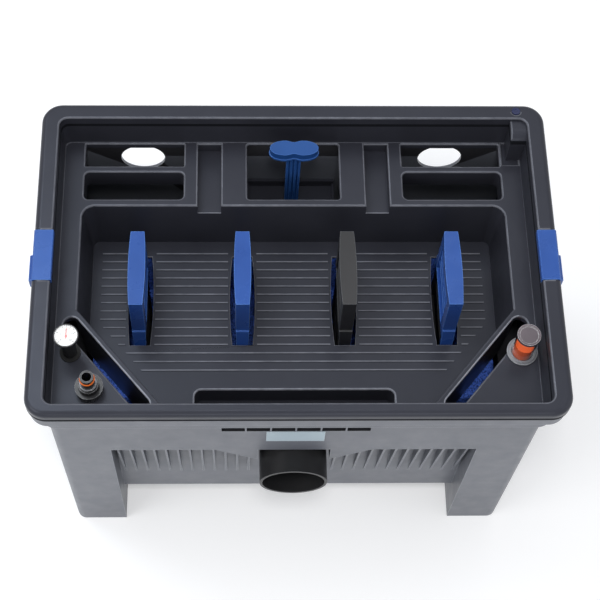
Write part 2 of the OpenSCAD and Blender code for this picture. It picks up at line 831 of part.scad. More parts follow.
module handle(c) {
  z0 = rail_top;
  top = handle_z;
  half = handle_l / 2;
  leg = 10;
  foot_z = floor_z + 20;
  // the feet lap over the ends of the carrier
  lap_z = z0 - 14;
  foot_top = foot_y - foot_run;
  lap_y = slot_l / 2 - 8 + air;
  bow = (handle_w - handle_w_end) * pow(2 * foot_y / handle_l, 2);
  color(c) intersection() {
    union() {
      translate([-handle_w / 2, 0, 0]) rotate([90, 0, 90]) linear_extrude(handle_w)
        difference() {
          polygon([[-half, top], [half, top], [foot_top - 2, foot_z + 2], [foot_top, foot_z + 1],
            [foot_y, lap_z], [lap_y, lap_z], [lap_y, z0], [-lap_y, z0], [-lap_y, lap_z], [-foot_y, lap_z],
            [-foot_top, foot_z + 1], [2 - foot_top, foot_z + 2]]);
          polygon([[leg - half, top - handle_bar], [half - leg, top - handle_bar],
            [half - leg, z0 + handle_foot], [leg - half, z0 + handle_foot]]);
        }
      // the web between the legs, and its ribs
      difference() {
        block([-3, 3], [1 - half, half - 1], [z0, top - 2]);
        for (s = [-1, 1]) translate([0, s * screw_y, z0 + handle_foot]) cylinder(r = head_r + 1, h = 12);
      }
      for (i = [1 : 4]) {
        z = z0 + 9 + i * (top - handle_bar - z0 - 9) / 5 + 5;
        block([3 - handle_w / 2, handle_w / 2 - 3], [1 - half, half - 1], [z - 1, z + 1]);
      }
    }
    difference() {
      block([-big, big], [-big, big], [0, big]);
      for (s = [-1, 1]) translate([0, s * screw_y, 0]) cylinder(r = shank_r + seat, h = z0 + handle_foot + 1);
    }
    translate([0, 0, lap_z]) linear_extrude(top - lap_z) barrel(2 * foot_y, handle_w, handle_w - bow);
    handle_taper(top, z0, lap_z);
  }
}

// The handle is a little narrower at its foot than at its top
module handle_taper(top, z0, low) {
  a = handle_w / 2;
  b = handle_w / 2 - 2.5;
  translate([0, big / 2, 0]) rotate([90, 0, 0]) linear_extrude(big)
    polygon([[-b, low], [b, low], [b, z0], [a, z0 + 24], [a, top], [-a, top], [-a, z0 + 24], [-b, z0]]);
}

module carrier() {
  half = slot_l / 2 - 8;
  w = rail_t;
  low = plate_z;
  rungs = 5;
  color(black) difference() {
    union() {
      for (s = [-1, 1]) block([-w / 2, w / 2], [s * half - (s > 0 ? w : 0), s * half + (s > 0 ? 0 : w)],
        [low, rail_top]);
      block([-w / 2, w / 2], [-half, half], [rail_top - 8, rail_top]);
      block([-w / 2, w / 2], [-half, half], [low, low + 8]);
      for (i = [1 : rungs]) {
        z = low + i * (rail_top - low) / (rungs + 1);
        block([-w / 2 + 1, w / 2 - 1], [-half, half], [z - 3, z + 3]);
      }
      block([-1.5, 1.5], [-half, half], [low, rail_top]);
    }
    for (s = [-1, 1]) translate([0, s * screw_y, rail_top - screw_in - 1])
      cylinder(r = shank_r + seat / 2, h = screw_in + 2);
  }
}

module handle_screws() {
  // two screws hold the handle on its carrier
  color("silver") for (s = [-1, 1]) translate([0, s * screw_y, rail_top]) {
    translate([0, 0, -screw_in]) cylinder(r = shank_r, h = screw_in + handle_foot + 1);
    translate([0, 0, handle_foot]) cylinder(r = head_r, h = screw_head_h);
  }
}

module press_plate(front) {
  w = foam_w;
  cells = 5;
  step = (w - 8) / cells;
  rows = floor((foam_back + front - 8) / step);
  pitch_y = (foam_back + front - 8) / rows;
  color(black) difference() {
    block([-w / 2, w / 2], [-front, foam_back], [grid_z, plate_z]);
    for (i = [0 : cells - 1], j = [0 : rows - 1]) {
      x = -w / 2 + 4 + (i + 0.5) * step;
      y = -front + 4 + (j + 0.5) * pitch_y;
      if (abs(x) > rail_t / 2 + step / 2 || abs(y) > slot_l / 2)
        block([x - step / 2 + 1.5, x + step / 2 - 1.5], [y - pitch_y / 2 + 1.5, y + pitch_y / 2 - 1.5],
          [0, big]);
    }
  }
}

module foam(front) {
  // an open-pored block round the carrier, with a waist between its layers
  gap = 1;
  h = foam_top - plate_z - 2 * air;
  color(foam_blue) difference() {
    block([-foam_w / 2, foam_w / 2], [-front, foam_back], [plate_z + air, plate_z + air + h]);
    block([-rail_t / 2 - gap, rail_t / 2 + gap], [8 - slot_l / 2 - gap, slot_l / 2 - 8 + gap], [0, big]);
    block([-slot_w / 2 - gap, slot_w / 2 + gap], [-slot_l / 2 - gap, slot_l / 2 + gap],
      [foam_top - foam_hollow, big]);
    for (z = [plate_z + h / 3, plate_z + 2 * h / 3]) difference() {
      block([-big, big], [-big, big], [z - 2, z + 2]);
      block([4 - foam_w / 2, foam_w / 2 - 4], [4 - front, foam_back - 4], [0, big]);
    }
  }
}

module support_grid() {
  x = 2 * (slots[3] + foam_w / 2);
  y0 = -foam_front_out;
  y1 = foam_back;
  n = 12;
  step = x / n;
  color(black) difference() {
    union() {
      block([-x / 2, x / 2], [y0, y1], [grid_z - 4, grid_z]);
      for (i = [0 : n]) block([-x / 2 + i * step - (i > 0 ? 2 : 0), -x / 2 + i * step + (i < n ? 2 : 0)],
        [y0, y1], [tub_floor, grid_z - 3]);
    }
    for (i = [0 : n - 1], j = [0 : 6]) {
      cell = (y1 - y0 - 4) / 7;
      block([-x / 2 + i * step + 4, -x / 2 + (i + 1) * step - 4],
        [y0 + 4 + j * cell, y0 + (j + 1) * cell], [grid_z - 9, grid_z + 1]);
    }
  }
}

module partition() {
  // an upright wall between the inlet chamber and the foams, open at its foot
  x = room_x - 1;
  y = foam_back + 7;
  color(black) difference() {
    block([-x, x], [y, y + 3], [tub_floor, tray_under - 6]);
    both_sides() block([6, x - 12], [y - 1, y + 4], [tub_floor + 10, tub_floor + 40]);
  }
}

// ---------- sludge valve ----------

gate_low = drain_z - drain_r - 5;
gate_high = drain_z + drain_r + 15;
gate_x = drain_r + 5;
bore_in = drain_r - drain_t - 0.5;
body_y = [slide_y - 15, tub_back - tub_t - 2];

// Half the cap's depth at x, and its outline drawn in by `o`
function cap_half(x, o) = (cap_d / 2 - o) * sqrt(max(0, 1 - pow(abs(x) / (cap_w / 2 - o), 3.2)))
  - cap_waist * exp(-x * x / 36);

module cap_outline(o) {
  n = 16;
  xs = [for (i = [-n : n]) (cap_w / 2 - o) * sin(90 * i / n)];
  polygon(concat([for (i = [0 : 2 * n]) [xs[i], -max(0, cap_half(xs[i], o))]],
    [for (i = [2 * n - 1 : -1 : 1]) [xs[i], max(0, cap_half(xs[i], o))]]));
}

module t_handle() {
  top = total_h - cap_below;
  low = gate_high - 12;
  y0 = slide_y - stem_t / 2;
  y1 = slide_y + stem_t / 2;
  color(blue) difference() {
    union() {
      // the cap: two lobes and a waist, with a lip round its hollow underside
      translate([0, slide_y, top - cap_h]) {
        linear_extrude(cap_h) cap_outline(1);
        linear_extrude(2.5) cap_outline(0);
      }
      // the stem: a core with ribs along its front and rear
      block([-stem_w / 2, stem_w / 2], [slide_y - 2.5, slide_y + 2.5], [low, top - 2]);
      for (i = [0 : 3]) {
        x = -stem_w / 2 + i * (stem_w - 2.2) / 3;
        block([x, x + 2.2], [y0, y1], [gate_high + 2, top - 2]);
      }
    }
    translate([0, slide_y, 0]) difference() {
      translate([0, 0, top - cap_h - 1]) linear_extrude(cap_h - 3) cap_outline(3.5);
      block([-stem_w / 2, stem_w / 2], [-stem_t / 2, stem_t / 2], [0, big]);
      for (x = [-20, 20]) block([x - 1, x + 1], [-cap_d / 2, cap_d / 2], [0, big]);
    }
    // fork over the gate's tongue
    block([-stem_w / 2 - 1, stem_w / 2 + 1],
      [slide_y - gate_tongue / 2 - seat, slide_y + gate_tongue / 2 + seat], [0, gate_high + seat]);
    towards_front(0, slide_y + 10, gate_high - 6) cylinder(r = pin_r + running, h = 20);
  }
}

gate_tongue = 2.4;

module gate() {
  color(grey) difference() {
    union() {
      block([-gate_x, gate_x], [slide_y - gate_t / 2, slide_y + gate_t / 2],
        [gate_low, gate_high - 12 - air]);
      block([-stem_w / 2, stem_w / 2], [slide_y - gate_tongue / 2, slide_y + gate_tongue / 2],
        [gate_low, gate_high]);
    }
    towards_front(0, slide_y + 10, gate_high - 6) cylinder(r = pin_r + running, h = 20);
  }
}

module gate_pin() {
  color("silver") towards_front(0, slide_y + 2.5, gate_high - 6) cylinder(r = pin_r, h = 5);
}

module valve_body() {
  w = gate_x + 6;
  top = gate_high + slide_up / 2;
  color(black) difference() {
    union() {
      block([-w, w], body_y, [tub_floor, gate_high]);
      // rails that guide the gate when it is up
      both_sides() block([gate_x - 4, w], [slide_y - 6, slide_y + 6], [tub_floor, top]);
      towards_front(0, stub_y, drain_z) cylinder(r = drain_r, h = stub_y - body_y[1] + 1);
    }
    towards_front(0, stub_y + 1, drain_z) cylinder(r = drain_r - drain_t, h = stub_y + 1 - slide_y);
    towards_front(0, slide_y + 1, drain_z) cylinder(r = bore_in, h = slide_y - body_y[0] + 2);
    block([-gate_x - air, gate_x + air], [slide_y - gate_t / 2 - air, slide_y + gate_t / 2 + air],
      [gate_low - air, big]);
    block([-stem_w / 2 - 1, stem_w / 2 + 1], [slide_y - stem_t / 2 - 1, slide_y + stem_t / 2 + 1],
      [gate_high - 12.5, big]);
    // groove for the seal
    towards_front(0, slide_y - gate_t / 2, drain_z) cylinder(r = drain_r + 2, h = 3.2);
  }
}

module gate_seal() {
  color([0.15, 0.15, 0.15]) towards_front(0, slide_y - gate_t / 2 - air, drain_z)
    tube(drain_r + 2 - seat, bore_in, 2.7);
}

module valve_gasket() {
  color([0.15, 0.15, 0.15]) towards_front(0, tub_back - tub_t, drain_z)
    tube(drain_r + 7, drain_r + seat, tub_back - tub_t - body_y[1]);
}

module drain_nut() {
  // an eight-sided nut behind the rear wall
  h = 10;
  color(black) towards_front(0, tub_back + h, drain_z) difference() {
    cylinder(r = drain_r + 9, h = h, $fn = 8);
    translate([0, 0, -1]) cylinder(r = drain_r + running, h = h + 2);
  }
}

module stem_guide() {
  // a bracket on the rear wall that steadies the stem
  back = tub_back - tub_t;
  z = inlet_z - inlet_r - 40;
  color(charcoal) difference() {
    union() {
      block([-mid_open_x, mid_open_x], [slide_y - 12, back], [z, z + 4]);
      block([-mid_open_x, mid_open_x], [back - 4, back], [z, z + 16]);
      both_sides() block([mid_open_x - 3, mid_open_x], [slide_y - 12, back], [z, z + 10]);
    }
    block([-stem_w / 2 - 0.5, stem_w / 2 + 0.5], [slide_y - stem_t / 2 - 0.5, slide_y + stem_t / 2 + 0.5],
      [0, big]);
  }
}

// ---------- outlet ----------

wall_in = tub_front - recess_d - 2 * tub_t;
flange_r = outlet_r + outlet_flange;
screw_ring = outlet_r + 2.6;
screw_head = 1.8;

module outlet_pipe() {
  inner = wall_in - 2;
  color(black) difference() {
    union() {
      towards_front(0, -inner + 12, outlet_z) cylinder(r = outlet_r, h = stub_y - inner + 12);
      towards_front(0, -inner + 4, outlet_z) cylinder(r = flange_r, h = 4);
    }
    towards_front(0, 0, outlet_z) cylinder(r = outlet_bore_r, h = big);
    for (a = [45 : 90 : 315])
      towards_front(screw_ring * cos(a), 0, outlet_z + screw_ring * sin(a))
        cylinder(r = 1.6, h = wall_in);
  }
}

module outlet_gasket() {
  color([0.15, 0.15, 0.15]) difference() {
    towards_front(0, 2 - wall_in, outlet_z) tube(flange_r, outlet_r + seat, 2);
    for (a = [45 : 90 : 315])
      towards_front(screw_ring * cos(a), 0, outlet_z + screw_ring * sin(a)) cylinder(r = 1.6, h = tub_front);
  }
}

module outlet_screws() {
  head_y = 6 - wall_in;
  color("silver") for (a = [45 : 90 : 315])
    translate([screw_ring * cos(a), 0, outlet_z + screw_ring * sin(a)]) {
      towards_front(0, head_y + screw_head, 0) cylinder(r = 2.2, h = screw_head);
      towards_front(0, head_y + 0.5, 0) cylinder(r = 1.4, h = 11);
    }
}

module outlet_strainer() {
  // a slotted basket pushed on the stub's inner end
  l = strainer_l;
  end_y = 6 - wall_in + screw_head + seat;
  color(black) towards_front(0, end_y + l, outlet_z) difference() {
    cylinder(r = outlet_r + 3, h = l);
    translate([0, 0, 3]) cylinder(r = outlet_r + seat, h = l);
    for (a = [0 : 15 : 345]) rotate([0, 0, a]) translate([outlet_r - 3, -2, 5]) cube([9, 4, 8]);
    for (x = [-30 : 10 : 30]) translate([x - 2, -20, -1]) cube([4, 40, 5]);
  }
}

// ---------- thermometer ----------

thermo_hole = 9;
indicator_hole = tube_r + 0.8;

module thermo_case() {
  color(black) translate([-gauge_x, -gauge_y, 0]) difference() {
    union() {
      translate([0, 0, gauge_z - 6]) cylinder(r1 = dial_r - 2.5, r2 = dial_r, h = 3);
      translate([0, 0, gauge_z - 3]) cylinder(r = dial_r, h = 3);
      translate([0, 0, ledge_z - probe_down]) cylinder(r = probe_r, h = probe_down + 1);
      translate([0, 0, ledge_z + 1.5]) cylinder(r = thermo_r, h = gauge_z - ledge_z - 5);
      translate([0, 0, ledge_z - 8]) cylinder(r = 6, h = 10);
    }
    translate([0, 0, gauge_z - 2.8]) cylinder(r = dial_r - 1.1, h = 4);
  }
}

module thermo_dial() {
  color("white") translate([-gauge_x, -gauge_y, gauge_z - 2.8]) difference() {
    cylinder(r = dial_r - 1.1 - seat, h = 0.6);
    translate([0, 0, -1]) cylinder(r = 0.9, h = 3);
  }
}

module thermo_needle() {
  color("red") translate([-gauge_x, -gauge_y, gauge_z - 2.1]) {
    cylinder(r = 1.3, h = 0.7);
    linear_extrude(0.4) polygon([[-0.7, -3], [0.7, -3], [0.25, 9.5], [-0.25, 9.5]]);
    translate([0, 0, -0.6]) cylinder(r = 0.85, h = 0.7);
  }
}

module thermo_lens() {
  color([0.9, 0.95, 1, 0.3]) translate([-gauge_x, -gauge_y, gauge_z - 1.1])
    cylinder(r = dial_r - 1.1 - seat, h = 1.1);
}

module thermo_grommet() {
  color([0.15, 0.15, 0.15]) translate([-gauge_x, -gauge_y, 0]) difference() {
    union() {
      translate([0, 0, ledge_z]) cylinder(r = 12, h = 1.5);
      translate([0, 0, ledge_z - lid_t - 1.5]) cylinder(r = thermo_hole - seat, h = lid_t + 2);
      translate([0, 0, ledge_z - lid_t - 2.5]) cylinder(r = thermo_hole + 0.4, h = 2.4);
    }
    cylinder(r = 6 + seat, h = big);
  }
}

// ---------- cleaning indicator ----------

module indicator_base() {
  color([0.75, 0.77, 0.8]) translate([gauge_x, -gauge_y, 0]) difference() {
    union() {
      translate([0, 0, ledge_z]) cylinder(r = base_r, h = 2.5);
      translate([0, 0, ledge_z + 2.5]) cylinder(r1 = base_r - 1, r2 = base_r - 2.5, h = 1.5);
    }
    cylinder(r = tube_r + seat, h = big);
  }
}

module indicator_tube() {
  // clear tube, closed at its top, open below
  low = ledge_z - lid_t - 12;
  color([0.85, 0.9, 0.95, 0.35]) translate([gauge_x, -gauge_y, 0]) difference() {
    union() {
      translate([0, 0, low]) cylinder(r = tube_r, h = gauge_z - low - 2);
      translate([0, 0, gauge_z - 5]) cylinder(r = tube_r + 0.8, h = 5);
    }
    translate([0, 0, low - 1]) cylinder(r = tube_r - tube_t, h = gauge_z - low - 2);
    translate([0, 0, gauge_z - 1.5]) cylinder(r = tube_r - 2, h = 2);
  }
}

module indicator_float() {
  // a coloured cup on a guide rod
  low = ledge_z + 1;
  color([0.95, 0.3, 0.1]) translate([gauge_x, -gauge_y, 0]) {
    translate([0, 0, low]) cylinder(r = tube_r - tube_t - running * 10, h = float_h);
    translate([0, 0, low - float_rod]) cylinder(r = float_rod_r, h = float_rod + 1);
    translate([0, 0, low - float_rod]) cylinder(r = float_disc_r, h = 3);
  }
}

// ---------- hose connector ----------

connector_top = total_h - 11;
nut_z = ledge_z + air;

module connector_body() {
  top = connector_top;
  color(black) translate([connector_at[0], connector_at[1], 0]) difference() {
    union() {
      translate([0, 0, top - 5]) cylinder(r = connector_r, h = 5);
      translate([0, 0, ledge_z - 14]) cylinder(r = connector_r - 1.6, h = top - ledge_z + 12);
      translate([0, 0, top - 18]) cylinder(r = connector_r, h = 10);
      translate([0, 0, top - 26]) cylinder(r = connector_r + 4, h = 6);
      translate([0, 0, ledge_z - lid_t - 8]) cylinder(r = connector_r + 3, h = 8 - air);
    }
    translate([0, 0, 1]) cylinder(r = connector_bore, h = big);
  }
}

module connector_o_ring() {
  color([1, 0.45, 0.1]) translate([connector_at[0], connector_at[1], connector_top - 6.5])
    rotate_extrude() translate([connector_r - 0.3, 0]) circle(1.25);
}

module connector_washer() {
  color("lightgrey") translate([connector_at[0], connector_at[1], connector_top - 20])
    tube(connector_r + 2, connector_r + seat, 2);
}

module connector_nut() {
  // a wide knurled nut under a flange
  h = 12;
  bore = connector_r - 1.6 + running;
  color(black) translate([connector_at[0], connector_at[1], nut_z]) difference() {
    union() {
      cylinder(r = 14.5, h = h - 2);
      translate([0, 0, h - 2]) cylinder(r = 16, h = 2);
      for (a = [0 : 15 : 345]) rotate([0, 0, a]) translate([14, -0.9, 0]) cube([1.4, 1.8, h - 1]);
    }
    translate([0, 0, -1]) cylinder(r = bore, h = h + 2);
  }
}

// ---------- small pieces ----------

module rim_plug() {
  color([0.1, 0.15, 0.4]) translate([plug_at[0], plug_at[1], 0]) difference() {
    union() {
      translate([0, 0, total_h - 1]) cylinder(r = plug_r, h = 1);
      translate([0, 0, total_h - rim_t + seat]) cylinder(r = plug_r - 1, h = rim_t - seat - 0.5);
    }
    translate([0, 0, total_h - 0.8]) cylinder(r = plug_r - 2.4, h = 2);
  }
}

module label_plate() {
  top = overflow_z - label_gap;
  color("white") block([-label_w / 2, label_w / 2], [-tub_front - label_t, -tub_front], [top - label_h, top]);
}

// ---------- output ----------

tub();
lid();
lid_gasket();
clip_left();
clip_right();
clip_pins();
for (i = [0 : 3]) {
  n = str(i + 1);
  grip = i == 2 ? [0.22, 0.23, 0.24] : blue;
  translate([slots[i], 0, 0]) {
    handle(grip);
    carrier();
    press_plate(foam_fronts[i]);
    handle_screws();
    foam(foam_fronts[i]);
  }
}
support_grid();
partition();
t_handle();
gate();
gate_pin();
valve_body();
gate_seal();
valve_gasket();
drain_nut();
stem_guide();
outlet_pipe();
outlet_gasket();
outlet_screws();
outlet_strainer();
thermo_case();
thermo_dial();
thermo_needle();
thermo_lens();
thermo_grommet();
indicator_base();
indicator_tube();
indicator_float();
connector_body();
connector_o_ring();
connector_washer();
connector_nut();
rim_plug();
label_plate();
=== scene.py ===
"""Pond filter with a tray lid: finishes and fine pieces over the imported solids."""
import json
import math
import bpy
from mathutils import Matrix, Vector


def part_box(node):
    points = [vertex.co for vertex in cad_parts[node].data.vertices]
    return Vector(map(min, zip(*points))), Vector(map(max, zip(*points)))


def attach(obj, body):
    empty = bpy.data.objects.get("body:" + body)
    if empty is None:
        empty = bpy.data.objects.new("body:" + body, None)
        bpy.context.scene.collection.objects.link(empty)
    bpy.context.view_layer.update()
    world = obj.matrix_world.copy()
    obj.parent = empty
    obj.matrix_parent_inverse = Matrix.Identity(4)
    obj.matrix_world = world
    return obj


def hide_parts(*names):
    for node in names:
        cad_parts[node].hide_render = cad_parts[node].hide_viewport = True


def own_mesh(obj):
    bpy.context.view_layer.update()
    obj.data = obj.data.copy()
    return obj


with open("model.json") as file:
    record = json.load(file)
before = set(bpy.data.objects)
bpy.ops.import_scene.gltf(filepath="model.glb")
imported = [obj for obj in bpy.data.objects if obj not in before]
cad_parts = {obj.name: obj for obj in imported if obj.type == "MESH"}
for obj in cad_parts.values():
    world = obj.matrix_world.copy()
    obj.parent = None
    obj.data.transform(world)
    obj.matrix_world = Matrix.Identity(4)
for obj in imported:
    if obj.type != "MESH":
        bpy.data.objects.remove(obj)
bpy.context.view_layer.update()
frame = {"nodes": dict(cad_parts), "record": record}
nodes = frame["nodes"]
MM = 0.001
SLOT_OF = {part["node"]: part["material_slot"] for part in frame["record"]["subparts"]}

# ---------------------------------------------------------------- camera

PITCH, YAW, ROLL = 64.47, -3.03, 2.68  # degrees, looking down, aside and tilted
EYE = (-0.0678, -0.7540, 1.8972)
SENSOR = 36
PICTURE = 600  # width of the picture in its points
FOCAL = 1440.4  # focal length in the same points
SHIFT = 0.05


def place_camera():
    pitch, yaw, roll = (math.radians(angle) for angle in (PITCH, YAW, ROLL))
    level = math.cos(pitch)
    ahead = Vector((-math.sin(yaw) * level, math.cos(yaw) * level, -math.sin(pitch)))
    right = Vector((math.cos(yaw), math.sin(yaw), 0))
    up = right.cross(ahead)
    side = math.cos(roll) * right + math.sin(roll) * up
    top = -math.sin(roll) * right + math.cos(roll) * up
    lens = bpy.data.cameras.new("camera")
    lens.sensor_width = SENSOR
    lens.lens = FOCAL * SENSOR / PICTURE
    lens.shift_x = SHIFT
    camera = bpy.data.objects.new("camera", lens)
    bpy.context.collection.objects.link(camera)
    turn = Matrix((side, top, -ahead)).transposed().to_4x4()
    camera.matrix_world = Matrix.Translation(EYE) @ turn
    bpy.context.scene.camera = camera


place_camera()

# ---------------------------------------------------------------- shader parts


def add(tree, kind, **inputs):
    """A new node; inputs are given by their names, with _ for a space."""
    made = tree.nodes.new("ShaderNode" + kind)
    for name, value in inputs.items():
        put(tree, made.inputs[name.replace("_", " ")], value)
    return made


def put(tree, socket, value):
    """Sets a socket to a number or a colour of three numbers, or links another socket to it."""
    if isinstance(value, bpy.types.NodeSocket):
        tree.links.new(value, socket)
    elif isinstance(value, tuple):
        socket.default_value = (*value, 1)
    else:
        socket.default_value = value


def reckon(tree, operation, *values, clamp=False):
    """The socket that gives the result of a sum on numbers or sockets."""
    made = add(tree, "Math")
    made.operation = operation
    made.use_clamp = clamp
    for socket, value in zip(made.inputs, values):
        put(tree, socket, value)
    return made.outputs[0]


def flagged(tree, attribute):
    """The number kept on each face under that name, 0 where there is none."""
    made = add(tree, "Attribute")
    made.attribute_name = attribute
    return made.outputs["Fac"]


def own_place(tree):
    return add(tree, "TexCoord").outputs["Object"]


def mottle(tree, scale, detail):
    """Soft random spots, so many to the metre."""
    noise = add(tree, "TexNoise", Vector=own_place(tree), Scale=scale, Detail=detail,
                Roughness=0.55)
    return noise.outputs["Fac"]


def ramp_of(tree, value, *stops):
    """Colour over a value; each stop is a place and a colour."""
    ramp = add(tree, "ValToRGB", Fac=value)
    for element, (place, colour) in zip(ramp.color_ramp.elements, stops):
        element.position = place
        element.color = (*colour, 1)
    return ramp.outputs["Color"]


def two_tones(tree, noise, dark, light):
    return ramp_of(tree, noise, (0.35, dark), (0.65, light))


def spread(tree, noise, low, high):
    """The noise drawn out between two values."""
    span = add(tree, "MapRange", Value=noise, From_Min=0.3, From_Max=0.7, To_Min=low, To_Max=high)
    return span.outputs["Result"]


def relief(tree, height, strength, depth, under=None):
    """Bumps, also on top of other bumps."""
    bump = add(tree, "Bump", Height=height, Strength=strength, Distance=depth)
    if under:
        put(tree, bump.inputs["Normal"], under)
    return bump.outputs["Normal"]


def blend(tree, share, first, second):
    """Colour that goes from first to second with the share."""
    mix = tree.nodes.new("ShaderNodeMix")
    mix.data_type = "RGBA"
    for name, value in (("Factor", share), ("A", first), ("B", second)):
        put(tree, mix.inputs[name], value)
    return mix.outputs["Result"]


def choose(tree, share, first, second):
    """Shader that goes from first to second with the share."""
    mix = add(tree, "MixShader", Fac=share)
    tree.links.new(first, mix.inputs[1])
    tree.links.new(second, mix.inputs[2])
    return mix.outputs[0]


# where the lines of painted highlight along the edges begin and where they are full
EDGE_FLAT, EDGE_TURNED = 0.985, 0.87  # the normals agree by this where a line begins, is full


def painted_highlight_line(tree, radius):
    """1 on a face marked for a painted highlight and, where a radius is given, next to any edge:
    the mask of the painted edge highlights.
    """
    painted_highlight = flagged(tree, "painted_highlight")
    if not radius:
        return painted_highlight
    rounded = add(tree, "Bevel", Radius=radius)
    rounded.samples = 6
    turn = add(tree, "VectorMath")
    turn.operation = "DOT_PRODUCT"
    tree.links.new(rounded.outputs["Normal"], turn.inputs[0])
    tree.links.new(add(tree, "NewGeometry").outputs["Normal"], turn.inputs[1])
    # the two normals agree on a flat face, and part next to an edge
    line = add(tree, "MapRange", Value=turn.outputs["Value"], From_Min=EDGE_FLAT,
               From_Max=EDGE_TURNED)
    return reckon(tree, "MAXIMUM", line.outputs["Result"], painted_highlight)


def lit_through(tree, shell, share):
    """Lets the lamps, but not the eye, through a clear piece to what is behind it."""
    ray = add(tree, "LightPath")
    lit = reckon(tree, "MAXIMUM", ray.outputs["Is Shadow Ray"], ray.outputs["Is Diffuse Ray"])
    through = add(tree, "BsdfTransparent", Color=(share, share, share))
    both = choose(tree, lit, shell, through.outputs[0])
    tree.links.new(both, tree.nodes["Material Output"].inputs["Surface"])


# ---------------------------------------------------------------- materials


def new_material(name):
    material = bpy.data.materials.new(name)
    material.use_nodes = True
    tree = material.node_tree
    return material, tree, tree.nodes["Principled BSDF"]


def set_finish(tree, shader, **inputs):
    """Sets the shader's inputs, given by their names, with _ for a space."""
    for name, value in inputs.items():
        put(tree, shader.inputs[name.replace("_", " ")], value)


# black of the painted shadow line along the lid's lower edge
SHADOW_LINE_BLACK = (0.002, 0.002, 0.003)
# the last of these spots make the painted edge highlights stronger and weaker at random
CLOUDS, STREAKS, WAVES, HIGHLIGHT_PATCHES = (14, 4), (45, 5), (9, 2), (70, 4)  # spots and their detail


def moulded(name, dark, light, rough, grain=1400, grain_depth=0.00006, specular=0.5, edge=None,
            highlight_width=0.0011, wave=0.00012, inside=None, sheen_tint=(1, 1, 1), shadow_line=None):
    """Injection-moulded plastic: faint clouds in the colour, a painted highlight along the edges,
    a slow waviness as it cools and fine grain on the surface. Faces marked as inside take a
    painted shade, and a painted shadow line is a black band between two heights."""
    material, tree, shader = new_material(name)
    tone = two_tones(tree, mottle(tree, *CLOUDS), dark, light)
    sheen = spread(tree, mottle(tree, *STREAKS), *rough)
    slow = relief(tree, mottle(tree, *WAVES), 0.5, wave)
    fine = relief(tree, mottle(tree, grain, 2), 0.35, grain_depth, slow)
    # faces marked as inside take a painted shade
    if inside:
        shaded_inside = flagged(tree, "inside")
        tone = blend(tree, shaded_inside, tone, inside)
    # a painted highlight along the edges, in the edge colour
    if edge:
        highlight_patchiness = spread(tree, mottle(tree, *HIGHLIGHT_PATCHES), 0.55, 1.0)
        share = reckon(tree, "MULTIPLY", painted_highlight_line(tree, highlight_width), highlight_patchiness)
        if inside:
            share = reckon(tree, "SUBTRACT", share, shaded_inside, clamp=True)
        tone = blend(tree, share, tone, edge)
    # a painted shadow line: black between two heights
    if shadow_line:
        low, high = shadow_line
        axes = add(tree, "SeparateXYZ", Vector=own_place(tree))
        band = reckon(tree, "COMPARE", axes.outputs["Z"], (low + high) / 2, (high - low) / 2)
        tone = blend(tree, band, tone, SHADOW_LINE_BLACK)
        sheen = reckon(tree, "MAXIMUM", sheen, band)
    set_finish(tree, shader, Base_Color=tone, Roughness=sheen, Normal=fine,
               Specular_IOR_Level=specular, Specular_Tint=sheen_tint)
    return material


def brushed(name):
    """Brushed steel."""
    material, tree, shader = new_material(name)
    tone = two_tones(tree, mottle(tree, 300, 4), (0.42, 0.42, 0.43), (0.62, 0.62, 0.63))
    set_finish(tree, shader, Base_Color=tone, Metallic=1.0,
               Roughness=spread(tree, mottle(tree, 900, 2), 0.22, 0.42),
               Normal=relief(tree, mottle(tree, 2400, 2), 0.2, 0.00003))
    return material


def clear(name, tint):
    """Clear plastic that lets the lamps through to what is inside."""
    material, tree, shader = new_material(name)
    lighter = tuple(min(1, channel + 0.02) for channel in tint)
    set_finish(tree, shader, Base_Color=two_tones(tree, mottle(tree, 60, 3), tint, lighter),
               Roughness=spread(tree, mottle(tree, 160, 3), 0.02, 0.06),
               Transmission_Weight=1.0, IOR=1.40)
    lit_through(tree, shader.outputs[0], 0.96)
    return material


def pored(name):
    """Open-pored filter foam: blue struts, with painted shade in the holes between them."""
    material, tree, shader = new_material(name)
    cells = add(tree, "TexVoronoi", Vector=own_place(tree), Scale=420).outputs["Distance"]
    tone = ramp_of(tree, cells, (0.12, (0.012, 0.030, 0.15)), (0.55, (0.10, 0.21, 0.80)))
    set_finish(tree, shader, Base_Color=tone, Normal=relief(tree, cells, 1.0, 0.0018),
               Roughness=spread(tree, mottle(tree, 200, 2), 0.85, 0.98), Specular_IOR_Level=0.25)
    return material
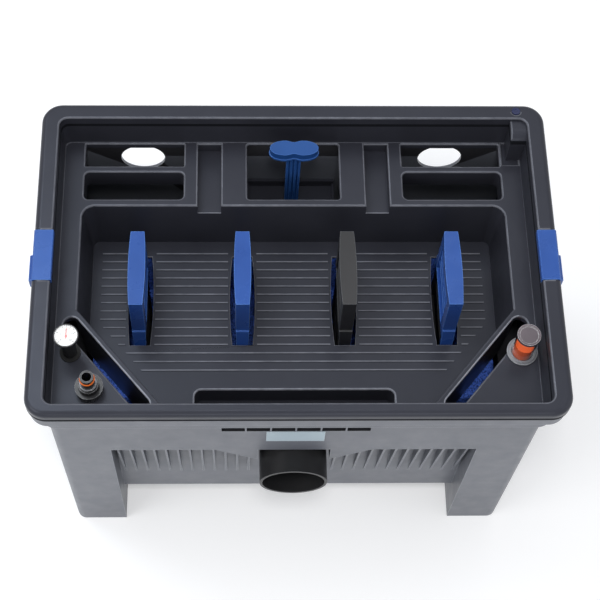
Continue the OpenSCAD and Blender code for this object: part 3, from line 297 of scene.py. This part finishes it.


# In these finishes the edge colour is a painted highlight along the edges, the tub's inside
# colour a painted shade on its inner faces, and the lid's black band a painted shadow line along
# its lip's lower edge.
FINISH = {
    "tub_grey": moulded(
        "tub_grey_plastic", (0.124, 0.132, 0.154), (0.139, 0.147, 0.170), (0.34, 0.46),
        900, 0.00004, edge=(0.32, 0.34, 0.38), highlight_width=0.0016, inside=(0.030, 0.030, 0.034)),
    "lid_charcoal": moulded(
        "lid_charcoal_plastic", (0.0240, 0.0246, 0.0320), (0.0285, 0.0293, 0.0375), (0.29, 0.36),
        1100, 0.00002, 0.32, edge=(0.32, 0.33, 0.37), highlight_width=None, wave=0.00006,
        sheen_tint=(0.80, 0.86, 1.0), shadow_line=(0.4280, 0.4330)),
    "handle_blue": moulded(
        "handle_blue_plastic", (0.018, 0.061, 0.26), (0.024, 0.077, 0.31), (0.24, 0.34),
        1600, 0.00003, edge=(0.13, 0.30, 0.74), highlight_width=0.0013, sheen_tint=(0.55, 0.75, 1.0)),
    "handle_charcoal": moulded(
        "handle_charcoal_plastic", (0.012, 0.012, 0.014), (0.017, 0.017, 0.019), (0.30, 0.42),
        1400, 0.00003, edge=(0.13, 0.14, 0.15), highlight_width=0.0011),
    "valve_blue": moulded(
        "valve_blue_plastic", (0.012, 0.056, 0.21), (0.017, 0.070, 0.25), (0.26, 0.36),
        1600, 0.00003, edge=(0.08, 0.20, 0.54), highlight_width=0.0011, sheen_tint=(0.6, 0.8, 1.0)),
    "black_plastic": moulded(
        "black_plastic_satin", (0.013, 0.013, 0.014), (0.019, 0.019, 0.020), (0.30, 0.42),
        1400, 0.00003, 0.35, edge=(0.12, 0.12, 0.13), highlight_width=0.0010),
    "inner_black": moulded(
        "black_plastic_dull", (0.010, 0.010, 0.012), (0.017, 0.017, 0.019), (0.5, 0.65)),
    "filter_foam": pored("filter_foam_blue"),
    "black_rubber": moulded(
        "black_rubber_seal", (0.010, 0.010, 0.010), (0.018, 0.018, 0.018), (0.6, 0.75),
        2200, 0.00005, 0.3),
    "orange_rubber": moulded(
        "orange_rubber_seal", (0.72, 0.13, 0.015), (0.82, 0.18, 0.02), (0.35, 0.5),
        2200, 0.00004),
    "stainless": brushed("stainless_brushed"),
    "clear_plastic": clear("clear_plastic_glass", (0.97, 0.97, 0.97)),
    "dial_white": moulded(
        "dial_face_white", (0.70, 0.69, 0.66), (0.76, 0.75, 0.72), (0.45, 0.6), 2000, 0.00002),
    "needle_red": moulded(
        "needle_red_paint", (0.55, 0.02, 0.015), (0.65, 0.03, 0.02), (0.3, 0.45), 2000, 0.00002),
    "float_orange": moulded(
        "float_orange_plastic", (0.84, 0.105, 0.012), (0.92, 0.135, 0.018), (0.3, 0.42),
        1800, 0.00003),
    "ring_grey": moulded(
        "ring_grey_plastic", (0.15, 0.155, 0.17), (0.20, 0.205, 0.22), (0.2, 0.3),
        1800, 0.00003, edge=(0.86, 0.86, 0.88), highlight_width=0.0006),
    "label_white": moulded(
        "label_blank_film", (0.37, 0.47, 0.52), (0.43, 0.52, 0.57), (0.3, 0.4),
        2000, 0.00001, wave=0.00001, edge=(0.75, 0.80, 0.83), highlight_width=0.0006),
    "plug_blue": moulded(
        "plug_dark_blue_plastic", (0.006, 0.010, 0.050), (0.009, 0.015, 0.065), (0.25, 0.38),
        1400, 0.00003, edge=(0.03, 0.05, 0.16), highlight_width=0.0007),
}
FITTING = moulded(
    "connector_black_gloss", (0.010, 0.010, 0.011), (0.016, 0.016, 0.018), (0.22, 0.32),
    1400, 0.00002, edge=(0.42, 0.42, 0.44), highlight_width=0.0009)
# the cap is a darker colour, and its bright lip a painted highlight
TUBE_CAP = moulded(
    "tube_cap_dark_painted_lip", (0.080, 0.062, 0.074), (0.150, 0.110, 0.130), (0.08, 0.14),
    900, 0.00002, 0.8, edge=(0.88, 0.86, 0.86), highlight_width=0.0010)
lit_through(TUBE_CAP.node_tree, TUBE_CAP.node_tree.nodes["Principled BSDF"].outputs[0], 0.85)
DIAL_PRINT = moulded(
    "dial_print_black", (0.012, 0.012, 0.013), (0.02, 0.02, 0.022), (0.4, 0.5), 2000, 0.00001)


def paint(piece, slot):
    piece.data.materials.clear()
    piece.data.materials.append(FINISH[slot])


# ---------------------------------------------------------------- making pieces

MERGE = 0.02 * MM  # corners closer than this are one
FLAT = math.radians(0.6)  # faces that meet at less than this are one
SHARP = math.radians(38)  # edges that turn more than this stay sharp in the shading
CORNER = math.radians(35)  # edges that turn more than this can be rounded


def only(piece):
    bpy.ops.object.select_all(action="DESELECT")
    piece.select_set(True)
    bpy.context.view_layer.objects.active = piece


def settle(piece, name):
    """The finished piece's place goes into its mesh."""
    only(piece)
    piece.name = name
    piece.data.name = name
    bpy.ops.object.transform_apply(location=True, rotation=True, scale=True)
    return piece


def finish_piece(piece, body, slot, *stands_for):
    paint(piece, slot)
    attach(piece, body)
    if stands_for:
        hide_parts(*stands_for)
    return piece


def apply_all(piece):
    only(piece)
    for modifier in list(piece.modifiers):
        bpy.ops.object.modifier_apply(modifier=modifier.name)


def body_of(node):
    for body, members in frame["record"]["behaviour"]["bodies"].items():
        if node in members:
            return body
    return "housing"


def merged_copy(node, name):
    """A copy of a solid with its triangles merged into whole faces."""
    piece = nodes[node].copy()
    piece.data = nodes[node].data.copy()
    piece.parent = None
    piece.matrix_world = Matrix.Identity(4)
    bpy.context.collection.objects.link(piece)
    only(piece)
    bpy.ops.object.mode_set(mode="EDIT")
    bpy.ops.mesh.select_all(action="SELECT")
    bpy.ops.mesh.remove_doubles(threshold=MERGE)
    bpy.ops.mesh.dissolve_limited(angle_limit=FLAT)
    bpy.ops.object.mode_set(mode="OBJECT")
    return settle(piece, name)


def faces_beside(mesh):
    """For each edge, by its two corners, the faces that meet there."""
    beside = {}
    for face in mesh.polygons:
        for key in face.edge_keys:
            beside.setdefault(key, []).append(face)
    return beside


def smooth(piece):
    """Round faces shaded round, flat ones flat."""
    only(piece)
    bpy.ops.object.shade_smooth()
    mesh = piece.data
    beside = faces_beside(mesh)
    for edge in mesh.edges:
        faces = beside.get(tuple(sorted(edge.vertices)), [])
        open_end = len(faces) != 2
        edge.use_edge_sharp = open_end or faces[0].normal.angle(faces[1].normal, 0) > SHARP
    weigh = piece.modifiers.new("even_shading", "WEIGHTED_NORMAL")
    weigh.keep_sharp = True
    apply_all(piece)


def rounded_part(node, width):
    """The solid with all its edges rounded by so many millimetres, in the solid's place."""
    piece = merged_copy(node, node + "_shell")
    bevel = piece.modifiers.new("edge_rounding", "BEVEL")
    bevel.width = width * MM
    bevel.segments = 2
    bevel.limit_method = "ANGLE"
    bevel.angle_limit = CORNER
    bevel.use_clamp_overlap = True
    bevel.harden_normals = False
    apply_all(piece)
    smooth(piece)
    return finish_piece(piece, body_of(node), SLOT_OF[node], node)


# ---------------------------------------------------------------- lid

LEDGE, FLOOR, CHANNEL = 0.394, 0.315, 0.378  # heights of the ledge, the tray and the channels
CLOSE = 0.3 * MM  # counts as the same height
UPWARD, MOSTLY_UP = 0.9, 0.7  # a face looks up by this
RIM_FROM = 0.430  # the rim's outer edges lie above this height
RIM_SIDE, RIM_FRONT = 0.286, 0.188  # and farther out than this to a side or to front and back
CHANNEL_TO = 0.09  # the channels' front ends lie before this depth
WELL_TO = -0.112  # the well at the front lies before this depth
SLOT_TO = 0.075  # the handles' slots reach this far from the middle
RIDGE_TO = -0.045  # the slanting ridges lie before this depth
RIDGE_NEAR, RIDGE_FAR = 0.2235, 0.2335  # how far out they lie towards their corner
RIDGE_SLOT = 0.2278  # and from where on they are next to the slanting slot
RIB_HEIGHT = 1.0 * MM


def is_inner(one, two, ends):
    """True for an edge in a corner, False for one that stands out."""
    along = (ends[1] - ends[0]).normalized()
    across = along.cross(one.normal)
    if not lies_on(one, (ends[0] + ends[1]) / 2, across):
        across = -across
    return across.dot(two.normal) > 0


def lies_on(face, middle, across):
    """True if a short way from the edge's middle lies on the face, by the crossing rule."""
    mesh = face.id_data
    probe = middle + across * 0.02 * MM
    first = across.normalized()
    second = face.normal.cross(first)
    offsets = [mesh.vertices[corner].co - probe for corner in face.vertices]
    flat = [(offset.dot(first), offset.dot(second)) for offset in offsets]
    hits = 0
    for (ax, ay), (bx, by) in zip(flat, flat[1:] + flat[:1]):
        if (ay > 0) != (by > 0) and ax - ay * (bx - ax) / (by - ay) > 0:
            hits += 1
    return hits % 2 == 1


def select_edges(piece, pick, inner):
    """Selects the edges that pick accepts, outer ones or inner ones."""
    only(piece)
    bpy.ops.object.mode_set(mode="EDIT")
    bpy.ops.mesh.select_mode(type="EDGE")
    bpy.ops.mesh.select_all(action="DESELECT")
    bpy.ops.object.mode_set(mode="OBJECT")
    mesh = piece.data
    beside = faces_beside(mesh)
    for edge in mesh.edges:
        faces = beside.get(tuple(sorted(edge.vertices)), [])
        if len(faces) != 2 or faces[0].normal.angle(faces[1].normal, 0) < CORNER:
            continue
        ends = [mesh.vertices[corner].co for corner in edge.vertices]
        if is_inner(*faces, ends) == inner and pick(ends, *faces):
            edge.select = True


def round_picked(piece, width, pick, segments, highlight_strength, inner=False):
    """Rounds the picked edges by so many millimetres, and marks how strong a painted highlight
    they get.
    """
    mesh = piece.data
    if "painted_highlight" not in mesh.attributes:
        mesh.attributes.new("painted_highlight", "FLOAT", "FACE")
    select_edges(piece, pick, inner)
    bpy.ops.object.mode_set(mode="EDIT")
    bpy.ops.mesh.bevel(offset=width * MM, segments=segments, profile=0.5, affect="EDGES",
                       clamp_overlap=False, loop_slide=False)
    bpy.ops.object.mode_set(mode="OBJECT")
    painted_highlight = mesh.attributes["painted_highlight"]
    for face in mesh.polygons:
        if face.select:
            painted_highlight.data[face.index].value = highlight_strength


def at_height(ends, height):
    return all(abs(end.z - height) < CLOSE for end in ends)


def rims(ends, one, two):
    """The edges of the ledge and the rim, but not the rim's outer ones."""
    low = min(end.z for end in ends)
    far = all(abs(end.x) > RIM_SIDE or abs(end.y) > RIM_FRONT for end in ends)
    if low > RIM_FROM and far:
        return False
    return low > LEDGE - 0.5 * MM and max(one.normal.z, two.normal.z) > MOSTLY_UP


def channel_ends(ends, one, two):
    return at_height(ends, CHANNEL) and all(end.y < CHANNEL_TO for end in ends)


def well(ends, one, two):
    return at_height(ends, FLOOR) and all(end.y < WELL_TO for end in ends)


def slots(ends, one, two):
    return at_height(ends, FLOOR) and all(abs(end.y) < SLOT_TO for end in ends)


def corners(ends, one, two):
    long = (ends[1] - ends[0]).length > 1 * MM
    return at_height(ends, LEDGE) and max(one.normal.z, two.normal.z) > UPWARD and long


def to_corner(place):
    """How far out a place lies towards the front corner on its side."""
    return 0.765 * abs(place.x) - 0.644 * place.y


def on_ridge(place):
    """True on the slanting ridge before a front corner."""
    near = place.y < RIDGE_TO and abs(place.z - LEDGE) < 3 * MM
    return near and RIDGE_NEAR < to_corner(place) < RIDGE_FAR


def lid_shell():
    """The lid with its lines of painted highlight: rims, ridges, ribs and the edges of slots and
    channels.
    """
    piece = merged_copy("lid", "lid_shell")
    round_picked(piece, 2.0, rims, 3, 0.31)
    round_picked(piece, 1.2, channel_ends, 2, 0.6)
    round_picked(piece, 2.2, well, 3, 0.75)
    round_picked(piece, 0.8, slots, 2, 0.4)
    round_picked(piece, 1.2, corners, 2, 0.12, inner=True)
    painted_highlight = piece.data.attributes["painted_highlight"]
    for face in piece.data.polygons:
        mark, place, upward = painted_highlight.data[face.index], face.center, face.normal.z
        # rib tops get a painted highlight
        if abs(place.z - FLOOR - RIB_HEIGHT) < 0.15 * MM and upward > UPWARD:
            mark.value = 0.50
        # the ridge's slot side gets a full painted highlight, its tray side hardly any
        elif mark.value > 0.2 and on_ridge(place):
            mark.value = 1.0 if to_corner(place) > RIDGE_SLOT and upward > 0.6 else 0.08
    smooth(piece)
    finish_piece(piece, body_of("lid"), "lid_charcoal", "lid")


# ---------------------------------------------------------------- tub

LOOKS = [Vector((math.cos(turn * math.pi / 4), math.sin(turn * math.pi / 4), 0))
         for turn in range(8)]
OPENINGS_LOW, OPENINGS_HIGH, OPENINGS_FRONT = 0.3335, 0.3485, -0.165  # the overflow openings
ROOM = 60 * MM  # the tub's room is wider than this, a gap between two fins is not


def spots(mesh):
    """One point on each face: the middle of its largest triangle, never in a gap or a rib."""
    mesh.calc_loop_triangles()
    widest = {}
    for part in mesh.loop_triangles:
        kept = widest.get(part.polygon_index)
        if kept is None or part.area > kept.area:
            widest[part.polygon_index] = part
    points = mesh.vertices
    return {index: sum((points[corner].co for corner in part.vertices), Vector()) / 3
            for index, part in widest.items()}


def shut_in(piece, start, ahead):
    """Every level look from the place meets a wall, or all but one that finds a hole."""
    shut = sum(piece.ray_cast(start, look)[0] for look in LOOKS)
    met, place, _, _ = piece.ray_cast(start, ahead)
    return shut == 8 or shut == 7 and met and (place - start).length > ROOM


def paint_shade_inside(piece):
    """Marks for a painted shade the faces that look into the tub's room, and those in the
    overflow openings. Each is tried at its middle and at a point that lies on it for sure, which
    leaves out the walls between the fins and under the flange."""
    flag = piece.data.attributes.new("inside", "FLOAT", "FACE")
    sure = spots(piece.data)
    for face in piece.data.polygons:
        middle, off = face.center, face.normal * 2 * MM
        # the overflow openings' sills get the painted shade too
        level = OPENINGS_LOW < middle.z < OPENINGS_HIGH and middle.y < OPENINGS_FRONT
        in_opening = level and abs(face.normal.y) < 0.6
        in_room = all(shut_in(piece, place + off, face.normal)
                      for place in (middle, sure[face.index]))
        flag.data[face.index].value = 1.0 if in_room or in_opening else 0.0


# ---------------------------------------------------------------- small pieces

CAP_DEPTH = 5.6 * MM  # thickness of the tube's closed end
PRINT = 0.10 * MM  # thickness of the dial's print
TICK_WIDTH, TICK_LONG, TICK_SHORT = 0.45 * MM, 2.6 * MM, 1.5 * MM
TICK_EDGE = 0.9 * MM  # the ticks end this far inside the dial's rim
NUMBER_EDGE, NUMBER_SIZE = 5.6 * MM, 3.4 * MM
TICK_TURN, TICK_SPAN = 22, 6  # degrees from tick to tick, and ticks to each side of the top


def tube_shell():
    """The clear tube, whose thick closed end is darker, with a painted highlight on its lip."""
    piece = rounded_part("indicator_tube", 0.5)
    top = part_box("indicator_tube")[1][2]
    piece.data.materials.append(TUBE_CAP)
    for face in piece.data.polygons:
        if face.center.z > top - CAP_DEPTH:
            face.material_index = 1


def dial_print():
    """Ticks round the dial's rim, and a plain number at every third one."""
    low, high = (Vector(corner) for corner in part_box("thermo_dial"))
    middle, radius = (low + high) / 2, (high.x - low.x) / 2
    level = high.z - 0.04 * MM
    marks = []
    for step in range(-TICK_SPAN, TICK_SPAN + 1):
        turn = math.radians(-step * TICK_TURN)
        out = Vector((-math.sin(turn), math.cos(turn), 0))
        length = TICK_LONG if step % 3 == 0 else TICK_SHORT
        at = middle + out * (radius - TICK_EDGE - length / 2)
        bpy.ops.mesh.primitive_cube_add(size=1, location=(at.x, at.y, level + PRINT / 2),
                                        rotation=(0, 0, turn), scale=(TICK_WIDTH, length, PRINT))
        marks.append(bpy.context.object)
        if step % 3 == 0:
            at = middle + out * (radius - NUMBER_EDGE)
            bpy.ops.object.text_add(location=(at.x, at.y, level))
            number = bpy.context.object.data
            number.body = str((step + TICK_SPAN) // 3 * 10)
            number.size = NUMBER_SIZE
            number.extrude = PRINT / 2
            number.align_x, number.align_y = "CENTER", "CENTER"
            bpy.ops.object.convert(target="MESH")
            marks.append(bpy.context.object)
    bpy.ops.object.select_all(action="DESELECT")
    for mark in marks:
        mark.select_set(True)
    bpy.context.view_layer.objects.active = marks[0]
    bpy.ops.object.join()
    piece = settle(bpy.context.object, "dial_print")
    finish_piece(piece, body_of("thermo_dial"), "black_plastic")
    piece.data.materials[0] = DIAL_PRINT


# ---------------------------------------------------------------- foams

CELL = 4 * MM  # size of the squares that the foam's surface is made of
PORE, PORE_DEPTH = 0.007, 2.4 * MM


def foam_block(number):
    """A foam with a surface of pores."""
    node = "foam_%d" % number
    piece = merged_copy(node, "foam_block_%d" % number)
    remesh = piece.modifiers.new("cells", "REMESH")
    remesh.mode = "VOXEL"
    remesh.voxel_size = CELL
    apply_all(piece)
    texture = bpy.data.textures.new("pores_%d" % number, "CLOUDS")
    texture.noise_scale = PORE
    texture.noise_depth = 1
    push = piece.modifiers.new("pores", "DISPLACE")
    push.texture = texture
    push.texture_coords = "LOCAL"
    push.strength = -PORE_DEPTH
    push.mid_level = 0.0
    apply_all(piece)
    only(piece)
    bpy.ops.object.shade_smooth()
    finish_piece(piece, "housing", "filter_foam", node)
    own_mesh(piece)


# ---------------------------------------------------------------- the whole part

# how far each piece's edges are rounded, in millimetres
ROUNDED = {"clip_left": 0.5, "clip_right": 0.5, "t_handle": 0.6, "outlet_pipe": 0.6,
           "thermo_case": 0.4, "connector_body": 0.4, "connector_nut": 0.25,
           "connector_washer": 0.4, "indicator_base": 0.4, "indicator_float": 0.6}
ALSO_ROUNDED = {"rim_plug": 0.3, "drain_nut": 0.8, "valve_body": 0.6}

for node, thing in nodes.items():
    paint(thing, SLOT_OF[node])
lid_shell()
paint_shade_inside(rounded_part("tub", 1.2))
for number in range(1, 5):
    rounded_part("handle_%d" % number, 0.8)
for node, width in ROUNDED.items():
    shell = rounded_part(node, width)
    if node in ("connector_body", "connector_nut"):
        shell.data.materials[0] = FITTING
tube_shell()
dial_print()
for node, width in ALSO_ROUNDED.items():
    rounded_part(node, width)
for number in range(1, 5):
    foam_block(number)

# ---------------------------------------------------------------- floor and light

WHITE = (1, 1, 1)
FLOOR_SIZE, FLOOR_LIFT = 14, 0.27  # metres, and the glow that only the camera sees
DIM, DIM_COLOUR = 0.55, (0.93, 0.95, 1.0)
LAMPS = (  # name, place, point it faces, width and height, power, colour
    ("key_high", (-0.05, -0.82, 2.7), (0, 0, 0.35), (0.35, 0.35), 17, WHITE),
    ("top", (0.0, 0.05, 3.0), (0, 0, 0.35), (0.5, 0.5), 4, WHITE),
    ("fill_front", (0.2, -2.9, 1.5), (0, 0, 0.3), (1.6, 1.0), 11, WHITE),
    ("fill_left", (-1.9, -1.0, 2.0), (0, 0, 0.3), (1.4, 1.4), 17, WHITE),
    ("back_left", (-1.0, 0.65, 2.5), (-0.2, 0, 0.4), (1.1, 1.1), 19, (0.88, 0.94, 1.0)),
    ("back_right", (0.50, 1.05, 2.6), (0.1, 0, 0.4), (0.45, 0.6), 1.6, WHITE),
    ("fill_right", (2.2, -0.4, 1.6), (0, 0, 0.3), (1.2, 1.2), 2.5, WHITE),
)


def seen_ray(tree):
    """1 for a ray from the camera, off a glossy surface or through a clear one."""
    ray = add(tree, "LightPath")
    seen = ray.outputs["Is Camera Ray"]
    for other in ("Is Glossy Ray", "Is Transmission Ray"):
        seen = reckon(tree, "MAXIMUM", seen, ray.outputs[other])
    return seen


def floor():
    """A pale floor that looks nearly white to the camera and lights the part no more for it."""
    bpy.ops.mesh.primitive_plane_add(size=FLOOR_SIZE, location=(0, 0, 0))
    plane = bpy.context.object
    plane.name = "floor"
    material, tree, shader = new_material("floor_white")
    set_finish(tree, shader, Base_Color=(0.80, 0.80, 0.80), Roughness=0.9)
    lift = reckon(tree, "MULTIPLY", seen_ray(tree), FLOOR_LIFT)
    glow = add(tree, "Emission", Color=WHITE, Strength=lift)
    both = add(tree, "AddShader")
    tree.links.new(shader.outputs[0], both.inputs[0])
    tree.links.new(glow.outputs[0], both.inputs[1])
    tree.links.new(both.outputs[0], tree.nodes["Material Output"].inputs["Surface"])
    plane.data.materials.append(material)


def surroundings():
    """Dim bluish light from all round, in front of a white wall that only the camera sees."""
    world = bpy.data.worlds.new("studio")
    bpy.context.scene.world = world
    world.use_nodes = True
    tree = world.node_tree
    dim = tree.nodes["Background"]
    put(tree, dim.inputs["Color"], DIM_COLOUR)
    put(tree, dim.inputs["Strength"], DIM)
    wall = add(tree, "Background", Strength=1.0)
    both = choose(tree, seen_ray(tree), dim.outputs[0], wall.outputs[0])
    tree.links.new(both, tree.nodes["World Output"].inputs["Surface"])


def softbox(name, place, aim, size, power, tint):
    lamp = bpy.data.lights.new(name, "AREA")
    lamp.shape = "RECTANGLE"
    lamp.size, lamp.size_y = size
    lamp.energy = power
    lamp.color = tint
    holder = bpy.data.objects.new(name, lamp)
    bpy.context.collection.objects.link(holder)
    holder.location = place
    holder.rotation_euler = (Vector(aim) - Vector(place)).to_track_quat("-Z", "Y").to_euler()
    return holder


floor()
surroundings()
holders = [softbox(*lamp) for lamp in LAMPS]
holders[0].visible_glossy = False  # the key lamp would leave a line on the front rim
bpy.context.scene.view_settings.view_transform = "Standard"
